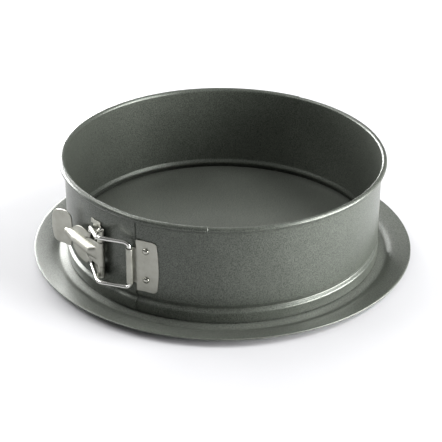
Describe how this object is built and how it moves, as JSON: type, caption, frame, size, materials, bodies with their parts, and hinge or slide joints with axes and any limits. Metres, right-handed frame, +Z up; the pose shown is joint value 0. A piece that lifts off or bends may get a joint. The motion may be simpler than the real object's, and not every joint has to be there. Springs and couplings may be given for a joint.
{
  "type": "springform pan",
  "caption": "Round springform cake pan with a raised, wide-rimmed base plate and a split band closed by an over-centre wire clasp",
  "frame": {"origin": "centre of the base plate's underside circle, on the surface the pan stands on", "axes": "+Z up along the pan's axis, -Y through the band's seam, +X towards the catch plate's side"},
  "size_m": [0.2926, 0.2926, 0.0809],
  "materials": {
    "coating": "grey non-stick coating with a satin metallic fleck",
    "clasp_sheet": "satin nickel plate",
    "bright_wire": "polished plated wire",
    "plain_wire": "plain drawn wire"
  },
  "bodies": {
    "base": {"base_plate": "coating"},
    "left_half": {"band_left": "coating", "rim_wire_left": "plain_wire", "hinge_bracket": "clasp_sheet", "hinge_rivet_upper": "clasp_sheet", "hinge_rivet_lower": "clasp_sheet", "hinge_pin": "bright_wire"},
    "right_half": {"band_right": "coating", "rim_wire_right": "plain_wire", "catch_plate": "clasp_sheet", "catch_rivet_upper": "clasp_sheet", "catch_rivet_lower": "clasp_sheet"},
    "lever_body": {"lever": "clasp_sheet"},
    "bail_body": {"bail_wire": "bright_wire"}
  },
  "joints": [
    {"name": "band_lift", "type": "slide", "parent": "base", "child": "left_half", "axis": [0, 0, 1], "range_m": [0, 0.1]},
    {"name": "band_open", "type": "hinge", "parent": "left_half", "child": "right_half", "pos_m": [0, 0.1202, 0.04], "axis": [0, 0, 1], "range_deg": [0, 2.13]},
    {"name": "lever_swing", "type": "hinge", "parent": "left_half", "child": "lever_body", "pos_m": [-0.0305, -0.1207, 0.041], "axis": [0, 0, 1], "range_deg": [0, 100]},
    {"name": "bail_swing", "type": "hinge", "parent": "right_half", "child": "bail_body", "pos_m": [-0.0036, -0.1243, 0.041], "axis": [0, 0, 1], "range_deg": [0, 24.9]}
  ],
  "couplings": [
    {"joint": "band_open", "follows": "lever_swing", "ratio": 0.02126},
    {"joint": "bail_swing", "follows": "lever_swing", "ratio": 0.24874}
  ]
}
